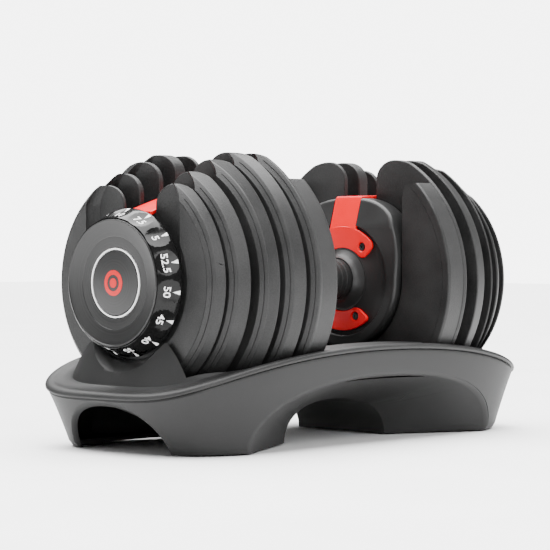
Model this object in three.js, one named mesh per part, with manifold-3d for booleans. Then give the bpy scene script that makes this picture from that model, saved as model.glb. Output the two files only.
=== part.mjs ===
// An adjustable dumbbell resting in its base.
// Millimetres, +Z up, the dumbbell's long axis along X, origin at the middle of the base's underside.

import * as THREE from 'three';
import { mergeVertices } from 'three/addons/utils/BufferGeometryUtils.js';
import Module from 'manifold-3d';

const wasm = await Module();
wasm.setup();

// ---------------------------------------------------------------- driving dimensions

const GAP = 0.3; // running gap between pieces that touch
const AXLE_Z = 127; // height of the handle's axis above the floor

// Base: plan is a superellipse, its rim is low at the ends and high in the middle
const RIM = {
  halfLength: 215, halfWidth: 105.5, power: 4, crown: 78.3, sag: 0.00046, droop: 5.7e-9, lip: 4.5,
};
const SKIRT = { footLength: 193, footWidth: 96.5, wall: 3.5, bottom: 1, parting: 0.5 };
const SOLE = { from: 3, to: 6, openingFrom: 66, openingTo: 186, openingHalfWidth: 44, openingTop: 30 };
const SIDE_ARCH = { innerWidth: 61, innerHeight: 33, innerY: 47, splay: 1.5625, rise: 0.386, power: 2.3 };
const END_ARCH = { halfWidth: 48, height: 35, power: 2.3, from: 178 };
const WELL = { from: 66.2, to: 182.5, knee: 122, bigRadius: 113, smallRadius: 92, wall: 2.7 };
const PAN = { halfLength: 63.5, halfWidth: 80, floor: 39, flat: 47, shoulder: 54, wall: 3 };
const FOOT = { radius: 9, height: 2.7, x: 160, y: 66 };

// The cradle under each dial: its round recess, and half outlines across it from the well outwards
const CRADLE = {
  recessRadius: 59,
  mouthRadius: 69,
  mouthAt: 196,
  sections: [
    { at: 182, bottom: 54, half: [[86, 61], [72, 70], [59, 78], [51, 88]] },
    { at: 190, bottom: 51, half: [[64, 57], [52, 67], [45, 76], [40, 84]] },
    { at: 197, bottom: 48, half: [[44, 53], [38, 55], [30, 57], [22, 58]] },
  ],
};

// Handle
const BAR = { radius: 10, halfLength: 188 };
const GRIP = { radius: 17.5, waist: 16.5, halfLength: 62.2 };
const GUARD = {
  face: 62.5,
  back: 84.5,
  radius: 57,
  kink: 169, // above this height the face leans back
  leanTo: 70,
  ring: { inner: 25.5, outer: 47, depth: 3.5 },
  shoulder: [[58.4, 145], [57, 158.5], [54, 173], [45.5, 181.7], [36, 188], [24, 193], [10, 195]],
};
const RED = { thickness: 3.2, halfWidth: 14 };
const DECK = [[95, 197], [120, 196], [148, 188.5], [173.5, 180.5]]; // the bridge over the discs, x and z
const BRIDGE_FOOT = { inner: 26, outer: 44, from: 40, to: 140, holeRadius: 34, holeAngles: [52, 128] };
const CLIP = { inner: 26.5, outer: 43, from: 228, to: 312, holeRadius: 33.5, holeAngles: [246, 294] };
const SCREW = { headRadius: 3.4, headHeight: 1.6, shankRadius: 1.6, shank: 7 };
const LOCK = { travel: 5, tip: 70.8, headFrom: 76, linkTop: 79.8, headTop: 92, pocketTop: 108.6 };
const SPRING = { radius: 3.2, wire: 0.6, turns: 4, x: 72, from: 93, to: 107.6 };

// Selector
const SLEEVE = { outer: 13, inner: 10.3, from: 88, to: 180.7 };
const DISC = { radius: 46, web: 3, flange: 3, clearance: 1, behindNext: 1.5, sweep: 200 };
const DIAL = { radius: 47.8, from: 181.2, face: 200.6, dish: 196, button: 24.2, room: 58.7, roomDepth: 3 };
const NUMBER_RING = { inner: 48.1, outer: 56, from: 181.2, to: 195, pockets: 15 };
const TAB = { halfWidth: 6, radius: 41, height: 5, reach: 4.5 };

// Plates, innermost first: inner face, outer face of the crescents, radius at each, outer face of the
// centre band, height of the two lobes beside the slot
const PLATES = [
  { from: 86, to: 93.7, radii: [109.6, 109.8], band: 90, lobe: 226, slab: 67.7 },
  { from: 104.3, to: 118.6, radii: [110, 107.8], band: 116, lobe: 226 },
  { from: 128.7, to: 140.1, radii: [105.5, 100], band: 133.5, lobe: 220 },
  { from: 149.4, to: 163, radii: [95.6, 91], band: 154.5, lobe: 210.4 },
  { from: 168, to: 179.2, radii: [88, 84], band: 171, lobe: 201 },
];
const SLOT = { halfWidth: 17, lobeY: 36, crescentY: 50 };
const BOLT = { washer: 13.5, head: 7 };
const SLAB = { radius: 109, cutRadius: 60, tipY: 72, tip: [[67, 207.5], [62, 204], [60.4, 198]] };

// ---------------------------------------------------------------- finishes

const finish = (color, roughness, metalness = 0) =>
  new THREE.MeshStandardMaterial({ color, roughness, metalness });

const FINISH = {
  basePlastic: () => finish(0x58585a, 0.5),
  skirtPlastic: () => finish(0x505052, 0.55),
  platePlastic: () => finish(0x232325, 0.6),
  guardPlastic: () => finish(0x1d1d1f, 0.55),
  gripRubber: () => finish(0x151516, 0.85),
  red: () => finish(0xd01f2c, 0.35),
  steel: () => finish(0xa9abad, 0.3, 1),
  dialSilver: () => finish(0x9a9b9d, 0.35, 0.8),
  glossBlack: () => finish(0x0c0c0d, 0.15),
  white: () => finish(0xe8e8e8, 0.4),
  button: () => finish(0x8b8c8e, 0.3, 0.5),
  footRubber: () => finish(0x101010, 0.9),
};

// ---------------------------------------------------------------- geometry helpers

const radians = (degrees) => (degrees * Math.PI) / 180;

function geometryOf(points, faces) {
  const geometry = new THREE.BufferGeometry();
  geometry.setAttribute('position', new THREE.Float32BufferAttribute(points.flat(), 3));
  geometry.setIndex(faces.flat());
  return geometry;
}

function solid(geometry) {
  const bare = geometry.clone();
  bare.deleteAttribute('normal');
  bare.deleteAttribute('uv');
  const merged = mergeVertices(bare, 1e-4);
  const mesh = new wasm.Mesh({
    numProp: 3,
    vertProperties: new Float32Array(merged.attributes.position.array),
    triVerts: new Uint32Array(merged.index.array),
  });
  return new wasm.Manifold(mesh);
}

function geometryFrom(body) {
  const mesh = body.getMesh();
  const geometry = new THREE.BufferGeometry();
  const points = new Float32Array(mesh.numVert * 3);
  for (let i = 0; i < mesh.numVert; i += 1) {
    for (let k = 0; k < 3; k += 1) points[i * 3 + k] = mesh.vertProperties[i * mesh.numProp + k];
  }
  geometry.setAttribute('position', new THREE.BufferAttribute(points, 3));
  geometry.setIndex(Array.from(mesh.triVerts));
  return geometry;
}

// A closed body through equal-length outlines, each in a plane across one axis, in increasing order
// along it. The outlines are turned to run anticlockwise about that axis.
const ALONG = {
  x: (at, u, v) => [at, u, v],
  y: (at, u, v) => [v, at, u],
  z: (at, u, v) => [u, v, at],
};

function loft(axis, given) {
  const clockwise = THREE.ShapeUtils.area(given[0].outline.map(([u, v]) => new THREE.Vector2(u, v))) < 0;
  const sections = clockwise
    ? given.map(({ at, outline }) => ({ at, outline: [...outline].reverse() })) : given;
  const count = sections[0].outline.length;
  const points = [];
  const faces = [];
  sections.forEach(({ at, outline }) => outline.forEach(([u, v]) => points.push(ALONG[axis](at, u, v))));
  for (let s = 0; s + 1 < sections.length; s += 1) {
    for (let i = 0; i < count; i += 1) {
      const j = (i + 1) % count;
      const [a, b] = [s * count + i, s * count + j];
      faces.push([a, b, b + count], [a, b + count, a + count]);
    }
  }
  const cap = (section, base, flip) => {
    const flat = section.outline.map(([u, v]) => new THREE.Vector2(u, v));
    THREE.ShapeUtils.triangulateShape(flat, []).forEach(([a, b, c]) =>
      faces.push(flip ? [base + a, base + c, base + b] : [base + a, base + b, base + c]));
  };
  cap(sections[0], 0, true);
  cap(sections.at(-1), (sections.length - 1) * count, false);
  return solid(geometryOf(points, faces));
}

const prism = (axis, outline, from, to) =>
  loft(axis, [{ at: from, outline }, { at: to, outline }]);

const box = ([x0, x1], [y0, y1], [z0, z1]) =>
  prism('z', [[x0, y0], [x1, y0], [x1, y1], [x0, y1]], z0, z1);

// A band that closes on itself: rings of 3-D points, outer bottom, outer top, inner top, inner bottom
function band(rings) {
  const count = rings[0].length;
  const faces = [];
  rings.forEach((ring, r) => {
    const next = (r + 1) % rings.length;
    for (let i = 0; i < count; i += 1) {
      const j = (i + 1) % count;
      const [a, b, c, d] = [r * count + i, r * count + j, next * count + j, next * count + i];
      faces.push([a, b, c], [a, c, d]);
    }
  });
  return solid(geometryOf(rings.flat(), faces));
}

const circle = (radius, count = 32, centre = [0, 0]) =>
  Array.from({ length: count }, (_, i) => {
    const angle = (i / count) * 2 * Math.PI;
    return [centre[0] + radius * Math.cos(angle), centre[1] + radius * Math.sin(angle)];
  });

const arc = (radius, fromDegrees, toDegrees, steps, centre = [0, 0]) =>
  Array.from({ length: steps + 1 }, (_, i) => {
    const angle = radians(fromDegrees + ((toDegrees - fromDegrees) * i) / steps);
    return [centre[0] + radius * Math.cos(angle), centre[1] + radius * Math.sin(angle)];
  });

const axle = [0, AXLE_Z];
const rod = (radius, from, to, count = 24) => prism('x', circle(radius, count, axle), from, to);

const ringSector = (inner, outer, from, to, x0, x1, steps = 10) =>
  prism('x', [...arc(outer, from, to, steps, axle), ...arc(inner, to, from, steps, axle)], x0, x1);

// A solid of revolution about the axle, from pairs of x and radius
function turned(profile, segments = 24) {
  const lathe = new THREE.LatheGeometry(profile.map(([x, r]) => new THREE.Vector2(r, x)), segments);
  lathe.rotateZ(-Math.PI / 2);
  lathe.translate(0, 0, AXLE_Z);
  const body = solid(lathe);
  return body.volume() > 0 ? body : turned([...profile].reverse(), segments);
}

const root = (value, power) => Math.max(0, value) ** (1 / power);
const superWidth = (x, halfLength, halfWidth, power = RIM.power) =>
  halfWidth * root(1 - Math.abs(x / halfLength) ** power, power);

function superellipse(halfLength, halfWidth, count = 44, power = RIM.power) {
  const bend = (value) => Math.sign(value) * Math.abs(value) ** (2 / power);
  return circle(1, count).map(([c, s]) => [halfLength * bend(c), halfWidth * bend(s)]);
}

const rimHeight = (x) => RIM.crown - RIM.sag * x ** 2 - RIM.droop * x ** 4;

// ---------------------------------------------------------------- scene assembly

const model = new THREE.Group();

function place(name, body, material) {
  const mesh = new THREE.Mesh(geometryFrom(body), material());
  mesh.name = name;
  model.add(mesh);
}

const SIDES = [['left', -1], ['right', 1]];
const mirrored = (body, side) => (side < 0 ? body.mirror([1, 0, 0]) : body);

// ---------------------------------------------------------------- base

// A saddle-shaped slab inside the rim, its top following the rim's height
function saddle(inset, above, below) {
  const halfLength = RIM.halfLength - inset;
  const halfWidth = RIM.halfWidth - inset;
  const stations = Array.from({ length: 25 }, (_, i) => -Math.cos((Math.PI * (i + 0.5)) / 25));
  stations[0] = -1;
  stations[24] = 1;
  return loft('x', stations.map((share) => {
    const x = share * halfLength;
    const width = Math.max(superWidth(x, halfLength, halfWidth), 30);
    const top = rimHeight(x) + above;
    const bottom = typeof below === 'number' ? below : rimHeight(x) - RIM.lip;
    return {
      at: x,
      outline: [
        [-width + 1, bottom], [width - 1, bottom], [width, bottom + 1.2], [width, top - 2],
        [width - 2, top], [-width + 2, top], [-width, top - 2], [-width, bottom + 1.2],
      ],
    };
  }));
}

function wellCone(grow) {
  const radius = (r) => circle(r + grow, 48, axle);
  return loft('x', [
    { at: WELL.from - grow, outline: radius(WELL.bigRadius) },
    { at: WELL.knee, outline: radius(WELL.bigRadius) },
    { at: WELL.to + grow, outline: radius(WELL.smallRadius) },
  ]);
}

const withOtherHalf = (half) => [...half, ...half.map(([y, z]) => [-y, z]).reverse()];

function cradle() {
  return loft('x', CRADLE.sections.map(({ at, bottom, half }) => {
    const footY = half[0][0];
    return { at, outline: [...withOtherHalf(half), [-footY, bottom], [footY, bottom]] };
  }));
}

// The round space that the dial turns in, widening outwards
function dialRecess() {
  const [{ at: start }] = CRADLE.sections;
  return loft('x', [
    [start - 8, CRADLE.recessRadius], [start + 2, CRADLE.recessRadius],
    [CRADLE.mouthAt, CRADLE.mouthRadius], [RIM.halfLength + 5, CRADLE.mouthRadius],
  ].map(([at, radius]) => ({ at, outline: circle(radius, 40, axle) })));
}

// The pan under the handle, its floor rising at both sides over the arches
function panSpace(grow) {
  const { halfLength, halfWidth, floor, flat, shoulder } = PAN;
  const half = [[flat, floor - grow], [halfWidth + grow, shoulder - grow], [halfWidth + grow, 99]];
  return prism('x', withOtherHalf(half), -halfLength - grow, halfLength + grow);
}

function baseTray() {
  const under = saddle(7, -3, 8);
  let tray = saddle(0, 0, 'lip').add(panSpace(PAN.wall).intersect(under));
  SIDES.forEach(([, side]) => {
    tray = tray.add(mirrored(wellCone(WELL.wall), side).intersect(under));
    tray = tray.add(mirrored(cradle(), side));
  });
  const guardRoom = rod(GUARD.radius + 3, -WELL.from - 1, WELL.from + 1, 32);
  tray = tray.subtract(panSpace(0)).subtract(guardRoom);
  SIDES.forEach(([, side]) => {
    tray = tray.subtract(mirrored(wellCone(0), side)).subtract(mirrored(dialRecess(), side));
    const post = box([PAN.halfLength + 0.5, WELL.from - 0.1], [-3.5, 3.5], [50, LOCK.tip - GAP]);
    tray = tray.add(mirrored(post, side));
  });
  return tray;
}

// The void of one long side's arch and the tunnel, as stations along Y
function sideArch(grow) {
  const outline = (y) => {
    const out = Math.max(0, Math.abs(y) - SIDE_ARCH.innerY);
    const width = SIDE_ARCH.innerWidth + SIDE_ARCH.splay * out + grow;
    const height = SIDE_ARCH.innerHeight + SIDE_ARCH.rise * out + grow;
    const bend = (value) => Math.sign(value) * Math.abs(value) ** (2 / SIDE_ARCH.power);
    const top = arc(1, 0, 180, 18).map(([c, s]) => [height * bend(s), width * bend(c)]);
    return [[-5, width], ...top, [-5, -width]];
  };
  const mouth = RIM.halfWidth + 6.5;
  const stations = [-mouth, -SIDE_ARCH.innerY, SIDE_ARCH.innerY, mouth];
  return loft('y', stations.map((y) => ({ at: y, outline: outline(y) })));
}

function endArch(grow) {
  const bend = (value) => Math.sign(value) * Math.abs(value) ** (2 / END_ARCH.power);
  const top = arc(1, 0, 180, 14).map(([c, s]) =>
    [(END_ARCH.halfWidth + grow) * bend(c), (END_ARCH.height + grow) * bend(s)]);
  const outline = [...top, [-END_ARCH.halfWidth - grow, -5], [END_ARCH.halfWidth + grow, -5]];
  return prism('x', outline, END_ARCH.from, RIM.halfLength + 10);
}

function baseSkirt() {
  const foot = superellipse(SKIRT.footLength, SKIRT.footWidth);
  const rim = superellipse(RIM.halfLength - 1.5, RIM.halfWidth - 1.5);
  const ring = (outline, inset, height) => outline.map(([x, y]) => {
    const length = Math.hypot(x, y);
    const share = 1 - inset / length;
    return [x * share, y * share, height(x)];
  });
  const bottom = () => SKIRT.bottom;
  const top = (x) => rimHeight(x) - RIM.lip - SKIRT.parting;
  let skirt = band([
    ring(foot, 0, bottom), ring(rim, 0, top), ring(rim, SKIRT.wall, top), ring(foot, SKIRT.wall, bottom),
  ]);
  const inside = loft('z', [
    { at: SKIRT.bottom, outline: superellipse(SKIRT.footLength - 1, SKIRT.footWidth - 1) },
    { at: 60, outline: superellipse(RIM.halfLength - 5, RIM.halfWidth - 4.5) },
  ]);
  const liner = sideArch(2).intersect(inside);
  const sole = box([-SKIRT.footLength, SKIRT.footLength], [-SKIRT.footWidth, SKIRT.footWidth],
    [SOLE.from, SOLE.to]).intersect(inside);
  skirt = skirt.add(liner).add(sole).subtract(sideArch(0));
  SIDES.forEach(([, side]) => {
    skirt = skirt.subtract(mirrored(endArch(0), side));
    skirt = skirt.subtract(mirrored(wellCone(WELL.wall + 0.5), side));
    const opening = box([SOLE.openingFrom, SOLE.openingTo],
      [-SOLE.openingHalfWidth, SOLE.openingHalfWidth], [0, SOLE.openingTop]);
    skirt = skirt.subtract(mirrored(opening, side));
  });
  return skirt.subtract(panSpace(PAN.wall + 0.5));
}

place('base_tray', baseTray(), FINISH.basePlastic);
place('base_skirt', baseSkirt(), FINISH.skirtPlastic);
[[-1, -1], [1, -1], [1, 1], [-1, 1]].forEach(([sx, sy], i) => {
  const pad = prism('z', circle(FOOT.radius, 24, [sx * FOOT.x, sy * FOOT.y]), 0, FOOT.height);
  place(`base_foot_${i + 1}`, pad, FINISH.footRubber);
});

// ---------------------------------------------------------------- handle

place('handle_bar', rod(BAR.radius, -BAR.halfLength, BAR.halfLength, 24), FINISH.steel);

const bore = BAR.radius + GAP;
place('handle_grip', turned([
  [-GRIP.halfLength, bore], [-GRIP.halfLength, GRIP.waist], [-GRIP.halfLength * 0.6, GRIP.radius],
  [GRIP.halfLength * 0.6, GRIP.radius], [GRIP.halfLength, GRIP.waist], [GRIP.halfLength, bore],
  [-GRIP.halfLength, bore],
]), FINISH.gripRubber);

// The guard's outline, cut level at a height where its face starts to lean back
function guardOutline(cutAt) {
  const half = [...arc(GUARD.radius, -90, 4, 20, axle), ...GUARD.shoulder];
  const clipped = half.map(([y, z]) => [y, Math.min(z, cutAt)]);
  const other = clipped.slice(1).reverse().map(([y, z]) => [-y, z]);
  return [...clipped, ...other];
}

function guard() {
  let body = loft('x', [
    { at: GUARD.face, outline: guardOutline(GUARD.kink) },
    { at: GUARD.leanTo, outline: guardOutline(Infinity) },
    { at: GUARD.back, outline: guardOutline(Infinity) },
  ]);
  const { inner, outer, depth } = GUARD.ring;
  const ring = rod(outer, GUARD.face - 1, GUARD.face + depth).subtract(rod(inner, GUARD.face - 2, 90));
  body = body.subtract(ring).subtract(rod(bore, 50, 90, 24)).subtract(bridgeChannel());
  body = body.subtract(box([GUARD.face + 1.2, 77], [-4.2, 4.2], [60, LOCK.linkTop + 0.4]));
  const pocketFrom = LOCK.headFrom - LOCK.travel - GAP;
  body = body.subtract(box([67.7, GUARD.back + 1], [-5.4, 5.4], [pocketFrom, LOCK.pocketTop]));
  [...BRIDGE_FOOT.holeAngles.map((a) => [BRIDGE_FOOT.holeRadius, a]),
    ...CLIP.holeAngles.map((a) => [CLIP.holeRadius, a])].forEach(([radius, angle]) => {
    const hole = arc(radius, angle, angle, 1, axle)[0];
    body = body.subtract(prism('x', circle(SCREW.shankRadius + GAP, 8, hole), 60, 76));
  });
  return body;
}

const ringFloor = GUARD.face + GUARD.ring.depth;
const seatFace = ringFloor - GAP - RED.thickness;

// The bridge's side profile as pairs of x and z: up the guard's leaning face, then out over the discs
function bridgeStrip() {
  const t = RED.thickness;
  const front = [[seatFace, 160], [GUARD.face, GUARD.kink], [GUARD.leanTo, 194], [72, 196.2], ...DECK];
  const back = [...DECK.map(([x, z]) => [x, z - t]).reverse(), [74.5, 193], [73.2, 191.5],
    [GUARD.face + t, GUARD.kink], [seatFace + t, 160]];
  return prism('y', [...front, ...back].map(([x, z]) => [z, x]), -RED.halfWidth, RED.halfWidth);
}

function bridgeChannel() {
  const back = [[90, 192.8], [74.7, 192.6], [73.8, 191.3], [ringFloor, GUARD.kink - 0.4], [ringFloor, 155]];
  const outline = [[50, 155], [50, 230], [90, 230], ...back];
  const width = RED.halfWidth + GAP;
  return prism('y', outline.map(([x, z]) => [z, x]), -width, width);
}

function screwHoles(body, radius, angles) {
  return angles.reduce((part, angle) => {
    const [centre] = arc(radius, angle, angle, 1, axle);
    const shank = prism('x', circle(SCREW.shankRadius + GAP, 8, centre), 50, 80);
    const headFloor = seatFace + SCREW.headHeight + GAP;
    const head = prism('x', circle(SCREW.headRadius + GAP, 12, centre), 50, headFloor);
    return part.subtract(shank).subtract(head);
  }, body);
}

function bridge() {
  const { inner, outer, from, to, holeRadius, holeAngles } = BRIDGE_FOOT;
  const foot = ringSector(inner, outer, from, to, seatFace, ringFloor - GAP);
  return screwHoles(foot.add(bridgeStrip()), holeRadius, holeAngles);
}

function clip() {
  const { inner, outer, from, to, holeRadius, holeAngles } = CLIP;
  return screwHoles(ringSector(inner, outer, from, to, seatFace, ringFloor - GAP), holeRadius, holeAngles);
}

function screw(radius, angle) {
  const [centre] = arc(radius, angle, angle, 1, axle);
  const headAt = seatFace + 0.1;
  const shank = prism('x', circle(SCREW.shankRadius, 8, centre), headAt + 0.5, ringFloor + SCREW.shank);
  return prism('x', circle(SCREW.headRadius, 12, centre), headAt, headAt + SCREW.headHeight).add(shank);
}

function lockPin() {
  const blade = box([GUARD.face + 1.5, 66.1], [-3.8, 3.8], [LOCK.tip, LOCK.linkTop]);
  const link = box([GUARD.face + 1.5, 76], [-3.8, 3.8], [LOCK.headFrom, LOCK.linkTop]);
  const head = box([68, 76], [-5, 5], [LOCK.headFrom, LOCK.headTop]);
  return blade.add(link).add(head);
}

function lockSpring() {
  const { radius, wire, turns, x, from, to } = SPRING;
  const steps = turns * 9;
  const points = Array.from({ length: steps + 1 }, (_, i) => {
    const angle = (i / 9) * 2 * Math.PI;
    return new THREE.Vector3(x + radius * Math.cos(angle), radius * Math.sin(angle),
      from + ((to - from) * i) / steps);
  });
  const section = new THREE.Shape(circle(wire, 5).map(([u, v]) => new THREE.Vector2(u, v)));
  const coil = new THREE.ExtrudeGeometry(section, {
    steps, extrudePath: new THREE.CatmullRomCurve3(points), bevelEnabled: false,
  });
  return solid(coil);
}

SIDES.forEach(([name, side]) => {
  const put = (label, body, material) => place(label, mirrored(body, side), material);
  put(`guard_${name}`, guard(), FINISH.guardPlastic);
  put(`bridge_${name}`, bridge(), FINISH.red);
  put(`clip_${name}`, clip(), FINISH.red);
  BRIDGE_FOOT.holeAngles.forEach((angle, i) =>
    put(`bridge_screw_${name}_${i + 1}`, screw(BRIDGE_FOOT.holeRadius, angle), FINISH.steel));
  CLIP.holeAngles.forEach((angle, i) =>
    put(`clip_screw_${name}_${i + 1}`, screw(CLIP.holeRadius, angle), FINISH.steel));
  put(`lock_pin_${name}`, lockPin(), FINISH.steel);
  put(`lock_spring_${name}`, lockSpring(), FINISH.steel);
});

// ---------------------------------------------------------------- selector

// A disc beside its plate: a web, and a part-round flange that passes under the plate's tab
function selectorDisc(index) {
  const { band: plateFace } = PLATES[index];
  const next = PLATES[index + 1]?.from ?? DIAL.from;
  const webTo = next - DISC.behindNext;
  const web = rod(DISC.radius, webTo - DISC.web, webTo, 24);
  const middle = 270 + 12 * (index - 2);
  const flange = ringSector(DISC.radius - DISC.flange, DISC.radius, middle - DISC.sweep / 2,
    middle + DISC.sweep / 2, plateFace + DISC.clearance, webTo - 0.5, 9);
  return web.add(flange).subtract(rod(SLEEVE.outer + GAP, plateFace, webTo + 1, 16));
}

function numberRing() {
  const { inner, outer, from, to, pockets } = NUMBER_RING;
  const count = pockets * 3;
  const scalloped = circle(outer, count, axle).map(([y, z], i) => {
    const share = i % 3 === 0 ? 1 - 1.4 / outer : 1;
    return [y * share, AXLE_Z + (z - AXLE_Z) * share];
  });
  return prism('x', scalloped, from, to).subtract(rod(inner, from - 1, to + 1));
}

const dialKnob = () => turned([
  [DIAL.from, 10.6], [DIAL.from, DIAL.radius], [DIAL.face - 1, DIAL.radius], [DIAL.face, DIAL.radius - 1],
  [DIAL.face - 3.2, 35], [DIAL.dish + 0.2, 26.6], [DIAL.dish - 2, 26.6], [DIAL.dish - 2, 15],
  [186, 15], [186, 10.6], [DIAL.from, 10.6],
]);

const seat = DIAL.dish - 2 + GAP;
const trimRing = () => turned([[seat, 24.6], [seat, 26.3], [196.8, 26.3], [196.8, 24.6], [seat, 24.6]]);
const dialButton = () => turned([
  [seat, 0], [seat, DIAL.button], [196.2, DIAL.button], [197.4, 20], [198.4, 10], [198.6, 0],
]);
const dialBolt = () => rod(BOLT.washer, BAR.halfLength + GAP, 190.3, 24)
  .add(rod(BOLT.head, 190, 193.6, 6));

SIDES.forEach(([name, side]) => {
  const put = (label, body, material) => place(label, mirrored(body, side), material);
  put(`selector_sleeve_${name}`,
    rod(SLEEVE.outer, SLEEVE.from, SLEEVE.to, 16).subtract(rod(SLEEVE.inner, SLEEVE.from - 1, 190, 16)),
    FINISH.steel);
  PLATES.forEach((_, i) => put(`selector_disc_${name}_${i + 1}`, selectorDisc(i), FINISH.guardPlastic));
  put(`dial_${name}`, dialKnob(), FINISH.dialSilver);
  put(`number_ring_${name}`, numberRing(), FINISH.glossBlack);
  put(`trim_ring_${name}`, trimRing(), FINISH.white);
  put(`dial_button_${name}`, dialButton(), FINISH.button);
  put(`dial_bolt_${name}`, dialBolt(), FINISH.steel);
});

// ---------------------------------------------------------------- plates

// A slotted round plate: bottom arc, a lobe each side of the slot, and the slot's round bottom
function plateOutline(radius, lobe) {
  const shoulder = THREE.MathUtils.radToDeg(Math.acos(SLOT.crescentY / radius));
  const right = [...arc(radius, -90, shoulder, 16, axle), [45, lobe - 2.5], [SLOT.lobeY, lobe],
    [28, lobe - 2], [22, lobe - 5.5], [18.5, lobe - 10], [SLOT.halfWidth, lobe - 16]];
  const left = right.slice(1).map(([y, z]) => [-y, z]).reverse();
  return [...right, ...arc(SLOT.halfWidth, 0, -180, 8, axle), ...left];
}

// The innermost plate's thick crescent, cut out for the guard
function slab({ slab: from, from: to }) {
  const tip = THREE.MathUtils.radToDeg(Math.acos(SLAB.tipY / SLAB.radius));
  const right = [...arc(SLAB.radius, -90, tip, 16, axle), ...SLAB.tip];
  const left = right.slice(1).map(([y, z]) => [-y, z]).reverse();
  return prism('x', [...right, ...arc(SLAB.cutRadius, 0, -180, 14, axle), ...left], from, to + 0.5);
}

function plate(spec, index) {
  const { from, to, radii, band: face, lobe } = spec;
  let body = loft('x', [
    { at: from, outline: plateOutline(radii[0], lobe) },
    { at: to, outline: plateOutline(radii[1], lobe) },
  ]);
  const recess = rod(SLOT.crescentY, face, to + 1)
    .add(box([face, to + 1], [-SLOT.crescentY, SLOT.crescentY], [AXLE_Z, 250]));
  body = body.subtract(recess);
  if (index === PLATES.length - 1) body = body.subtract(rod(DIAL.room, to - DIAL.roomDepth, to + 1, 40));
  if (spec.slab) body = body.add(slab(spec));
  const tab = box([face - 0.5, face + TAB.reach], [-TAB.halfWidth, TAB.halfWidth],
    [AXLE_Z - TAB.radius, AXLE_Z - TAB.radius + TAB.height]);
  return body.add(tab);
}

SIDES.forEach(([name, side]) => {
  PLATES.forEach((spec, i) =>
    place(`plate_${name}_${i + 1}`, mirrored(plate(spec, i), side), FINISH.platePlastic));
});

export default model;
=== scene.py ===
import math
import bpy
import bmesh
from mathutils import Matrix, Vector
from mathutils.bvhtree import BVHTree


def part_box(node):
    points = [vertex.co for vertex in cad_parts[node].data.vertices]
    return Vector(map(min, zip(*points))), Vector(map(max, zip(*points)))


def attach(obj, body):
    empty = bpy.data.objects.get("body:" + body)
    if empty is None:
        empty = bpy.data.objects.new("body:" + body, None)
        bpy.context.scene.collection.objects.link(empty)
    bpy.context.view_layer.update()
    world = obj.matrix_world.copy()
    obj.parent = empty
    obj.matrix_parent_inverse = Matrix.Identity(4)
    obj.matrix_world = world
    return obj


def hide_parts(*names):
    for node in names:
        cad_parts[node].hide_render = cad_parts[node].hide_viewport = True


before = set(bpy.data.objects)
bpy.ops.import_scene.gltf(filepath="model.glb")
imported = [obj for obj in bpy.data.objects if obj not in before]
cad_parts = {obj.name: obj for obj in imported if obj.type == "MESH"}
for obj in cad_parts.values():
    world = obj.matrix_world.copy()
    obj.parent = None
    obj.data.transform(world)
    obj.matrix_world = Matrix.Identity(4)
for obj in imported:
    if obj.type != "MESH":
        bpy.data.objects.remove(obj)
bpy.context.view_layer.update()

mm = 0.001  # everything below is worked out in millimetres and scaled once, when a piece is finished
tau = 2 * math.pi

# The axle, from the bar that lies on it
barLow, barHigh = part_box("handle_bar")
axleZ = (barLow.z + barHigh.z) / 2 / mm
print("frame loaded, axle at", round(axleZ, 2), "mm")


def boxOf(node):  # a CAD node's box in millimetres, as low and high corners
    low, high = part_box(node)
    return low / mm, high / mm


# ---- mesh helpers


def newObject(name, bm):
    mesh = bpy.data.meshes.new(name)
    bm.to_mesh(mesh)
    bm.free()
    obj = bpy.data.objects.new(name, mesh)
    bpy.context.scene.collection.objects.link(obj)
    return obj


def bake(obj):  # the mesh with its modifiers applied, in place
    depsgraph = bpy.context.evaluated_depsgraph_get()
    mesh = bpy.data.meshes.new_from_object(obj.evaluated_get(depsgraph))
    old = obj.data
    obj.modifiers.clear()
    obj.data = mesh
    bpy.data.meshes.remove(old)


def combine(obj, tool, operation="DIFFERENCE"):
    step = obj.modifiers.new("combine", "BOOLEAN")
    step.operation = operation
    step.object = tool
    step.solver = "EXACT"
    bake(obj)
    used = tool.data
    bpy.data.objects.remove(tool)
    bpy.data.meshes.remove(used)
    return obj


def spinProfile(name, profile, steps=128, angle=tau, start=0.0):
    # pairs of x and radius turned about the axle; ends on the axis close there
    bm = bmesh.new()
    verts = [bm.verts.new((x, r * math.sin(start), axleZ + r * math.cos(start))) for x, r in profile]
    edges = [bm.edges.new(pair) for pair in zip(verts, verts[1:])]
    onAxis = profile[0][1] < 1e-6 and profile[-1][1] < 1e-6
    if not onAxis:
        edges.append(bm.edges.new((verts[-1], verts[0])))
    full = abs(angle - tau) < 1e-6
    if not full and not onAxis:
        bm.faces.new(verts)
    result = bmesh.ops.spin(bm, geom=verts + edges, cent=(0, 0, axleZ), axis=(-1, 0, 0), dvec=(0, 0, 0),
                            angle=angle, steps=steps, use_merge=full, use_duplicate=False)
    if not full and not onAxis:
        ends = [v for v in result["geom_last"] if isinstance(v, bmesh.types.BMVert)]
        bmesh.ops.contextual_create(bm, geom=ends)
    bmesh.ops.remove_doubles(bm, verts=bm.verts, dist=1e-4)
    bmesh.ops.recalc_face_normals(bm, faces=bm.faces)
    return newObject(name, bm)


def extrudeOutline(name, points, offset):
    # a flat face from 3-D points, pushed along an offset into a closed solid
    bm = bmesh.new()
    face = bm.faces.new([bm.verts.new(p) for p in points])
    grown = bmesh.ops.extrude_face_region(bm, geom=[face])
    moved = [v for v in grown["geom"] if isinstance(v, bmesh.types.BMVert)]
    bmesh.ops.translate(bm, vec=offset, verts=moved)
    bmesh.ops.recalc_face_normals(bm, faces=bm.faces)
    return newObject(name, bm)


def prismX(name, outline, x0, x1):
    return extrudeOutline(name, [(x0, y, z) for y, z in outline], (x1 - x0, 0, 0))


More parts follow.
